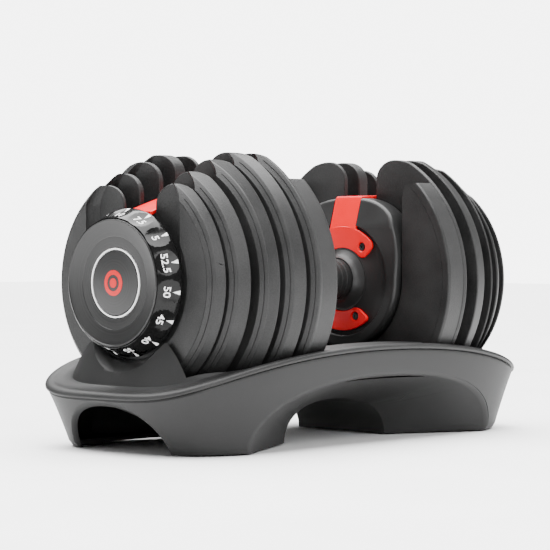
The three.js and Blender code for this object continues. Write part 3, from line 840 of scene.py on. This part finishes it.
def makeSkirt():
    s = baseLooks
    rim = (s["halfLength"] - 1.5, s["halfWidth"] - 1.5)
    top = lambda x, y: rimTop(x) - s["skirtTop"]

    def outer(share, inset=0.0):
        length = s["footLength"] + (rim[0] - s["footLength"]) * share - inset
        width = s["footWidth"] + (rim[1] - s["footWidth"]) * share - inset
        return superRing(length, width, lambda x, y: s["bottom"] + (top(x, y) - s["bottom"]) * share)

    def low(inset, height):
        return superRing(s["footLength"] - inset, s["footWidth"] - inset, lambda x, y: height)

    rings = [low(4.2, s["bottom"]), low(2.2, s["bottom"]), low(1.0, 1.5), low(0.2, 2.8)]
    rings += [outer(share) for share in (0.08, 0.2, 0.4, 0.6, 0.8, 0.97)]
    rings += [superRing(rim[0] - 0.7, rim[1] - 0.7, top), superRing(rim[0] - s["wall"], rim[1] - s["wall"], top)]
    rings += [outer(share, s["wall"]) for share in (0.8, 0.5, 0.2, 0.08)]
    skirt = loftRings("skirt", rings, True)
    for side in (-1, 1):
        combine(skirt, endArch(side))
    inside = loftRings("inside", [low(2.0, 1.3), outer(0.7, 2.0)])
    combine(skirt, combine(sideArch(2.0), inside, "INTERSECT"), "UNION")
    combine(skirt, solePlate(), "UNION")
    combine(skirt, sideArch())
    for side in (-1, 1):
        combine(skirt, wellCone("well", side, s["shellWall"] + 0.4))
    combine(skirt, panBox("pan", 3.4))
    finishPiece(skirt, skirtPlastic, "base", ["base_skirt"], 30)


def solePlate():
    # the flat floor of the base, open under the wells
    sole = loftRings("sole", [superRing(190.5, 94, lambda x, y: 3.0), superRing(192, 95.4, lambda x, y: 6.0)])
    for side in (-1, 1):
        opening = boxPiece("opening", (min(side * 66, side * 205), -50, 0), (max(side * 66, side * 205), 50, 30))
        combine(sole, opening)
    return sole


def makeFeet():
    for index in range(4):
        node = f"base_foot_{index + 1}"
        low, high = boxOf(node)
        centre = (low + high) / 2
        radius = (high.x - low.x) / 2
        bm = bmesh.new()
        bmesh.ops.create_cone(bm, cap_ends=True, segments=64, radius1=radius, radius2=radius, depth=high.z - low.z)
        bmesh.ops.translate(bm, vec=centre, verts=bm.verts)
        foot = bevelSharp(newObject(node + "_pad", bm), 0.6, 3)
        finishPiece(foot, footRubber, "base", [node], 40)


makeTray()
print("tray made")
makeSkirt()
makeFeet()
print("base made")

# ---- handle, guards and the red pieces

handleLooks = {
    "gripHalf": 62.2, "gripRadius": 17.5, "gripWaist": 16.6, "bore": 10.3, "ribPitch": 6.0, "ribDepth": 0.45,
    "guardFace": 62.5, "guardBack": 84.5, "guardRadius": 57.0, "kink": 169.0, "leanSlope": 7.5 / 25,
    "guardRound": 3.0, "ringInner": 25.5, "ringOuter": 47.0, "ringFloor": 66.0,
    "shoulder": [(57.4, 131), (58.4, 145), (57, 158.5), (54, 169), (50.5, 177), (45.5, 183), (36, 189), (24, 193),
                 (10, 195)],
    "redThickness": 3.2, "redHalf": 14.0, "redRound": 0.8,
    # sectors: inner and outer radius, first and last angle, how far the ends slant, corner radius
    "foot": (26.0, 44.0, 40.0, 140.0, 3.0, 5.0), "footHoles": (34.0, 52.0, 128.0),
    "clip": (26.5, 43.0, 228.0, 312.0, -7.0, 5.0), "clipHoles": (33.5, 246.0, 294.0),
    "strip": [(62.5, 160), (62.5, 169), (70, 194), (72, 196.2), (95, 197), (120, 196), (148, 188.5), (173.5, 180.5)],
}


def smoothCurve(points, steps):
    # a curve through the points, with the given number of steps to each span
    result = []
    for i in range(len(points) - 1):
        a, b = points[max(i - 1, 0)], points[i]
        c, d = points[i + 1], points[min(i + 2, len(points) - 1)]
        for k in range(steps):
            t = k / steps
            result.append(tuple(0.5 * (2 * q + (r - p) * t + (2 * p - 5 * q + 4 * r - w) * t * t
                                       + (3 * q - p - 3 * r + w) * t ** 3) for p, q, r, w in zip(a, b, c, d)))
    return result + [points[-1]]


def sectorOutline(inner, outer, first, last, slant, corner):
    # anticlockwise outline of a ring's sector, with slanting ends and rounded corners
    def end(r, angle, sign):
        lean = slant * (outer - r) / (outer - inner)
        edge = min(r - inner, outer - r)
        cut = corner - math.sqrt(corner ** 2 - max(corner - edge, 0) ** 2)
        return math.radians(angle + sign * lean - sign * math.degrees(cut / r))

    radii = [inner + (outer - inner) * (1 - math.cos(math.pi * k / 18)) / 2 for k in range(19)]
    points = []
    steps = 36
    startOut, endOut = end(outer, first, -1), end(outer, last, 1)
    points += [(outer, startOut + (endOut - startOut) * k / steps) for k in range(steps + 1)]
    points += [(r, end(r, last, 1)) for r in radii[::-1][1:-1]]
    startIn, endIn = end(inner, first, -1), end(inner, last, 1)
    points += [(inner, endIn + (startIn - endIn) * k / steps) for k in range(steps + 1)]
    points += [(r, end(r, first, -1)) for r in radii[1:-1]]
    return dropRepeats([(r * math.cos(a), axleZ + r * math.sin(a)) for r, a in points])


def shiftPiece(obj, offset):
    obj.data.transform(Matrix.Translation(offset))
    return obj


def holeAt(radius, angle):
    a = math.radians(angle)
    return (0, radius * math.cos(a), radius * math.sin(a))


def makeGrip():
    s = handleLooks
    half, bore = s["gripHalf"], s["bore"]
    profile = [(-half, bore), (-half, s["gripWaist"] - 0.8), (-half + 0.8, s["gripWaist"])]
    x = -54.0
    while x < 54.0:
        radius = s["gripWaist"] + (s["gripRadius"] - s["gripWaist"]) * (1 - (x / half) ** 4)
        profile += [(x, radius), (x + 0.5, radius - s["ribDepth"]), (x + 1.4, radius - s["ribDepth"]),
                    (x + 1.9, radius)]
        x += s["ribPitch"]
    profile += [(half - 0.8, s["gripWaist"]), (half, s["gripWaist"] - 0.8), (half, bore)]
    grip = spinProfile("grip", profile, 96)
    finishPiece(grip, gripRubber, "handle", ["handle_grip"], 40)


def guardBlank():
    # a rounded shield, its face leaning back above the kink
    s = handleLooks
    arc = arcPoints(s["guardRadius"], -90, 0, 40, (0, axleZ))
    half = arc + smoothCurve(s["shoulder"], 4)
    outline = dropRepeats(half + [(-y, z) for y, z in half[::-1]])
    guard = roundedPrism("guard", outline, -s["guardBack"], -s["guardFace"], s["guardRound"])
    bm = bmesh.new()
    bm.from_mesh(guard.data)
    everything = bm.verts[:] + bm.edges[:] + bm.faces[:]
    bmesh.ops.bisect_plane(bm, geom=everything, dist=1e-4, plane_co=(0, 0, s["kink"]), plane_no=(0, 0, 1))
    depth = s["guardBack"] - s["guardFace"]
    for v in bm.verts:
        lean = max(v.co.z - s["kink"], 0) * s["leanSlope"]
        v.co.x -= lean * (1 - (-v.co.x - s["guardFace"]) / depth)
    bm.to_mesh(guard.data)
    bm.free()
    return guard


def makeGuard():
    s = handleLooks
    face, floor = s["guardFace"], s["ringFloor"]
    guard = guardBlank()
    inner, outer = s["ringInner"], s["ringOuter"]
    ring = [(-56, inner), (-56, outer + 0.6), (-face + 0.1, outer + 0.6), (-face - 0.7, outer), (-floor + 0.7, outer),
            (-floor, outer - 0.7), (-floor, inner + 0.7), (-floor + 0.7, inner)]
    combine(guard, spinProfile("ring", ring, 128))
    channel = [(-50, 155), (-50, 230), (-90, 230), (-90, 192.8), (-74.7, 192.6), (-73.8, 191.3), (-66, 168.6),
               (-66, 155)]
    combine(guard, prismY("channel", channel, -s["redHalf"] - 0.3, s["redHalf"] + 0.3))
    combine(guard, boxPiece("slot", (-77, -4.2, 60), (-63.7, 4.2, 80.2)))
    combine(guard, boxPiece("pocket", (-85.5, -5.4, 70.7), (-67.7, 5.4, 108.6)))
    combine(guard, spinProfile("bore", [(-50, 0), (-50, 10.3), (-90, 10.3), (-90, 0)], 64))
    collar = [(-55.5, 17.4), (-55.5, 17.9), (-58, 18.9), (-60.4, 21.2), (-62.4, 24.5), (-63.9, 28.3), (-65, 32.5),
              (-65.7, 37), (-66.1, 42), (-67, 42), (-67, 17.4)]
    combine(guard, spinProfile("collar", collar, 96), "UNION")
    finishPiece(guard, guardPlastic, "handle", ["guard_left"], 32)
    guard.name = "guard_left_shell"
    otherEnd(guard, "handle", ["guard_right"])


def redTool(angle, radius):
    tool = [(-56, 0), (-56, 4.5), (-62.4, 4.5), (-63.0, 3.7), (-64.4, 3.7), (-64.4, 1.9), (-67, 1.9), (-67, 0)]
    return shiftPiece(spinProfile("hole", tool, 32), holeAt(radius, angle))


def makeRedPieces():
    s = handleLooks
    low, high = -s["guardFace"] - s["redThickness"], -s["guardFace"]
    t = s["redThickness"]
    front = smoothStrip(s["strip"])
    back = [(x + t * 0.75, z - t * 0.62) if x < 74 else (x, z - t) for x, z in front]
    outline = [(-x, z) for x, z in front + back[::-1]]
    strip = roundedStrip("bridge_left_strip", outline, s["redHalf"], s["redRound"])
    foot = roundedPrism("foot", sectorOutline(*s["foot"]), low, high, s["redRound"])
    combine(strip, foot, "UNION")
    radius, first, last = s["footHoles"]
    for angle in (first, last):
        combine(strip, redTool(angle, radius))
    finishPiece(strip, redPlastic, "handle", ["bridge_left"], 35)
    otherEnd(strip, "handle", ["bridge_right"])
    clip = roundedPrism("clip_left_bracket", sectorOutline(*s["clip"]), low, high, s["redRound"])
    radius, first, last = s["clipHoles"]
    for angle in (first, last):
        combine(clip, redTool(angle, radius))
    finishPiece(clip, redPlastic, "handle", ["clip_left"], 35)
    otherEnd(clip, "handle", ["clip_right"])


def smoothStrip(points):
    # keeps the crisp lower bends and softens the long curve over the discs
    return points[:3] + smoothCurve(points[3:], 5)


def roundedStrip(name, outline, half, radius):
    # a strip's side outline pushed out across the axle, both side edges rounded
    if sum(a[0] * b[1] - b[0] * a[1] for a, b in zip(outline, outline[1:] + outline[:1])) < 0:
        outline = outline[::-1]
    steps = [(radius * (1 - math.cos(a)), radius * (1 - math.sin(a))) for a in (0, 0.5, 1.0, math.pi / 2)]
    rings = [[(x, -half + d, z) for x, z in offsetOutline(outline, inset)] for d, inset in steps]
    rings += [[(x, half - d, z) for x, z in offsetOutline(outline, inset)] for d, inset in steps[::-1]]
    return loftRings(name, rings)


def makeScrews():
    s = handleLooks
    places = [("bridge", 1, s["footHoles"][0], s["footHoles"][1]), ("bridge", 2, s["footHoles"][0], s["footHoles"][2]),
              ("clip", 1, s["clipHoles"][0], s["clipHoles"][1]), ("clip", 2, s["clipHoles"][0], s["clipHoles"][2])]
    for kind, index, radius, angle in places:
        profile = [(-63.4, 0), (-63.4, 2.7), (-63.6, 3.1), (-64.0, 3.3), (-64.3, 3.2), (-64.3, 1.6), (-72.6, 1.6),
                   (-73.0, 1.2), (-73.0, 0)]
        screw = spinProfile(f"{kind}_screw_left_{index}_head", profile, 32)
        combine(screw, spinProfile("socket", [(-62, 0), (-62, 1.7), (-64.1, 1.7), (-64.1, 0)], 6))
        shiftPiece(screw, holeAt(radius, angle))
        finishPiece(screw, blackSteel, "handle", [f"{kind}_screw_left_{index}"], 35)
        across = 3 - index  # half a turn swaps the two sides
        otherEnd(screw, "handle", [f"{kind}_screw_right_{across}"], f"{kind}_screw_right_{across}_head")


makeGrip()
makeGuard()
makeRedPieces()
makeScrews()
print("handle made")

# ---- selector discs, sleeves, dials and numbers

discLooks = {"radius": 46.0, "web": 3.0, "flange": 3.0, "clearance": 1.0, "behind": 1.5, "sweep": 200.0,
             "next": [104.3, 128.7, 149.4, 168.0, 181.2], "hub": 13.3}


def mirroredEnd(obj, body, node):
    # the mirror image at the right end, for the pieces that half a turn would put out of step
    copy = turnedCopy(obj, obj.name.replace("left", "right"))
    copy.data.transform(Matrix.Scale(-1, 4, (0, 1, 0)))
    copy.data.flip_normals()
    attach(copy, body)
    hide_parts(node)


def makeDiscs():
    s = discLooks
    for index in range(5):
        webTo = s["next"][index] - s["behind"]
        flangeFrom = plateLooks["band"][index] + s["clearance"]
        r, w = s["radius"], s["web"]
        web = [(webTo - w, s["hub"]), (webTo - w, r - 0.5), (webTo - w + 0.5, r), (webTo - 0.5, r), (webTo, r - 0.5),
               (webTo, 31), (webTo - 0.6, 30.4), (webTo - 0.6, 20), (webTo, 19.4), (webTo, s["hub"])]
        disc = spinProfile(f"disc_left_{index + 1}", [(-x, y) for x, y in web], 96)
        middle = 90 - (270 + 12 * (index - 2))
        start = math.radians(middle - s["sweep"] / 2)
        inside, outside = r - s["flange"], r - 0.05
        flange = [(flangeFrom, inside), (flangeFrom, outside - 0.4), (flangeFrom + 0.4, outside),
                  (webTo - 0.8, outside), (webTo - 0.8, inside)]
        tool = spinProfile("flange", [(-x, y) for x, y in flange], 60, math.radians(s["sweep"]), start)
        combine(disc, tool, "UNION")
        finishPiece(disc, guardPlastic, "dial_left", [f"selector_disc_left_{index + 1}"], 32)
        mirroredEnd(disc, "dial_right", f"selector_disc_right_{index + 1}")


def makeSleeves():
    profile = [(88, 10.3), (88, 12.5), (88.5, 13)]
    for x in (102.8, 127.2, 147.9, 166.5):
        profile += [(x, 13), (x + 0.1, 12.5), (x + 1.0, 12.5), (x + 1.1, 13)]
    profile += [(180.2, 13), (180.7, 12.5), (180.7, 10.3)]
    sleeve = spinProfile("sleeve_left", [(-x, r) for x, r in profile], 64)
    finishPiece(sleeve, screwSteel, "dial_left", ["selector_sleeve_left"], 32)
    otherEnd(sleeve, "dial_right", ["selector_sleeve_right"])


dialLooks = {
    "dial": [(181.2, 10.6), (181.2, 47.8), (199.8, 47.8), (200.3, 47.65), (200.6, 47.2), (200.55, 46.7),
             (200.1, 46.2), (199.2, 43.2), (198.3, 39.4), (197.5, 35.2), (197.2, 34.8), (196.9, 31), (196.5, 27.2),
             (196.1, 26.6), (194, 26.6), (194, 15), (186, 15), (186, 10.6)],
    "trim": [(194.3, 24.75), (194.3, 26.2), (196.4, 26.2), (196.75, 25.95), (196.8, 25.5), (196.6, 25.0),
             (196.1, 24.75)],
    "bell": [(181.2, 48.1), (199.2, 48.1), (199.5, 48.4), (199.2, 48.9), (198.2, 49.4), (197, 50.0), (194.5, 51.3),
             (192, 52.5), (189, 53.9), (186, 55.0), (183.5, 55.7), (182.2, 55.95), (181.5, 55.8), (181.2, 55.4)],
    "scoopRadius": 51.0, "scoopDepth": 1.5, "scoopX": 190.0, "scoopR": 53.4, "scoopLean": 0.43,
    "step": 24.0, "offset": 1.0, "figureHeight": 5.3, "figureWidth": 14.4, "baseline": 194.7, "raise": 0.1,
    "wedge": (188.0, 183.2, 1.5),
}
dialFigures = ["10", "7.5", "5", "52.5", "50", "45", "40", "35", "30", "25", "22.5", "20", "17.5", "15", "12.5"]


def buttonDome(r):
    return 196.9 + 1.7 * (1 - (r / 23.8) ** 2)


def makeDial():
    s = dialLooks
    dial = spinProfile("dial_left_knob", [(-x, r) for x, r in s["dial"]], 160)
    finishPiece(dial, dialSilver, "dial_left", ["dial_left"], 25)
    otherEnd(dial, "dial_right", ["dial_right"])
    trim = spinProfile("trim_left", [(-x, r) for x, r in s["trim"]], 128)
    finishPiece(trim, whiteTrim, "dial_left", ["trim_ring_left"], 40)
    otherEnd(trim, "dial_right", ["trim_ring_right"])
    profile = [(194.3, 0), (194.3, 24.2), (196.3, 24.2), (196.75, 24.05)]
    profile += [(buttonDome(23.8 * k / 12), 23.8 * k / 12) for k in range(12, -1, -1)]
    button = spinProfile("button_left", [(-x, r) for x, r in profile], 128)
    finishPiece(button, buttonSilver, "dial_left", ["dial_button_left"], 25)
    otherEnd(button, "dial_right", ["dial_button_right"])
    # a plain red ring round a dot
    for name, low, high in (("markRing", 6.2, 9.6), ("markDot", 0.0, 3.6)):
        lift = 0.12
        top = [(buttonDome(low + (high - low) * k / 6) + lift, low + (high - low) * k / 6) for k in range(7)]
        profile = [(198.0 if low else 198.2, low)] + top + [(buttonDome(high) - 0.2, high)]
        if not low:
            profile = profile[1:] + [(198.2, 0)]
        mark = spinProfile(name + "_left", [(-x, r) for x, r in profile], 96)
        finishPiece(mark, redInk, "dial_left", (), 40)
        otherEnd(mark, "dial_right")


def makeNumberRing():
    s = dialLooks
    ring = spinProfile("ring_left", [(-x, r) for x, r in s["bell"]], 180)
    reach = s["scoopRadius"] - s["scoopDepth"]
    tilt = s["scoopLean"]
    across = math.sqrt(1 - tilt ** 2)
    centre = Vector((-s["scoopX"] - tilt * reach, 0, s["scoopR"] + across * reach))
    for index in range(len(dialFigures)):
        angle = math.radians(s["step"] * index + s["offset"])
        bm = bmesh.new()
        bmesh.ops.create_icosphere(bm, subdivisions=5, radius=s["scoopRadius"])
        turned = Matrix.Rotation(angle, 4, "X") @ centre
        bmesh.ops.translate(bm, vec=turned + Vector((0, 0, axleZ)), verts=bm.verts)
        combine(ring, newObject("scoop", bm))
    return ring


def figureMesh(words, width=None):
    # flat figures with a little thickness, scaled to the printed height
    s = dialLooks
    curve = bpy.data.curves.new("figures", "FONT")
    curve.body = words
    curve.size = 10
    curve.align_x = "CENTER"
    curve.offset = 0.12
    curve.extrude = 0.08
    obj = bpy.data.objects.new("figures", curve)
    bpy.context.scene.collection.objects.link(obj)
    mesh = bpy.data.meshes.new_from_object(obj.evaluated_get(bpy.context.evaluated_depsgraph_get()))
    bpy.data.objects.remove(obj)
    bpy.data.curves.remove(curve)
    xs, ys = [v.co.x for v in mesh.vertices], [v.co.y for v in mesh.vertices]
    tall = s["figureHeight"] / (max(ys) - min(ys))
    wide = (width / (max(xs) - min(xs))) if width else figureStretch["x"]
    figureStretch["x"] = wide
    low, middle = min(ys), (max(xs) + min(xs)) / 2
    for v in mesh.vertices:
        v.co = ((v.co.x - middle) * wide, (v.co.y - low) * tall, v.co.z)
    return mesh


figureStretch = {"x": 1.0}


def wedgeMesh():
    tip, base, half = dialLooks["wedge"]
    bm = bmesh.new()
    bmesh.ops.create_circle(bm, cap_ends=True, segments=3, radius=1)
    bmesh.ops.delete(bm, geom=bm.verts[:], context="VERTS")
    corners = [bm.verts.new(p) for p in ((0, dialLooks["baseline"] - tip, -0.08),
               (half, dialLooks["baseline"] - base, -0.08), (-half, dialLooks["baseline"] - base, -0.08))]
    face = bm.faces.new(corners)
    grown = bmesh.ops.extrude_face_region(bm, geom=[face])
    bmesh.ops.translate(bm, vec=(0, 0, 0.16), verts=[v for v in grown["geom"] if isinstance(v, bmesh.types.BMVert)])
    bmesh.ops.subdivide_edges(bm, edges=bm.edges, cuts=2, use_grid_fill=True)
    bmesh.ops.recalc_face_normals(bm, faces=bm.faces)
    mesh = bpy.data.meshes.new("wedge")
    bm.to_mesh(mesh)
    bm.free()
    return mesh


def wrapOnRing(target, mesh, angle, tree):
    # lays a flat drawing on the ring: across becomes turn, up becomes inboard, thickness stands out
    s = dialLooks
    for v in mesh.vertices:
        x = -s["baseline"] + v.co.y
        turn = angle + v.co.x / 52.0
        out = Vector((0, -math.sin(turn), math.cos(turn)))
        start = Vector((x, 0, axleZ)) + out * 80
        hit = tree.ray_cast(start, -out)[0]
        v.co = hit + out * (v.co.z + s["raise"] - 0.04)
    target.from_mesh(mesh)
    bpy.data.meshes.remove(mesh)


def makeNumbers(ring):
    s = dialLooks
    bm = bmesh.new()
    bm.from_mesh(ring.data)
    tree = BVHTree.FromBMesh(bm)
    bm.free()
    drawn = bmesh.new()
    bpy.data.meshes.remove(figureMesh("52.5", s["figureWidth"]))
    for index, words in enumerate(dialFigures):
        angle = math.radians(s["step"] * index + s["offset"])
        wrapOnRing(drawn, figureMesh(words), angle, tree)
        wrapOnRing(drawn, wedgeMesh(), angle, tree)
    numbers = newObject("numbers_left", drawn)
    finishPiece(ring, glossBlack, "dial_left", ["number_ring_left"], 20)
    ring.name = "ring_left_bell"
    otherEnd(ring, "dial_right", ["number_ring_right"])
    finishPiece(numbers, whiteInk, "dial_left", (), 30)
    otherEnd(numbers, "dial_right")


def dressKept(nodes, material):
    # the CAD pieces that stay as they are get their finish here
    for node in nodes:
        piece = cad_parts[node]
        for slot in piece.material_slots:
            slot.material = material


makeDiscs()
makeSleeves()
makeDial()
makeNumbers(makeNumberRing())
dressKept(["handle_bar"], barSteel)
for side in ("left", "right"):
    dressKept([f"dial_bolt_{side}", f"lock_spring_{side}"], screwSteel)
    dressKept([f"lock_pin_{side}"], darkSteel)
print("dials made")
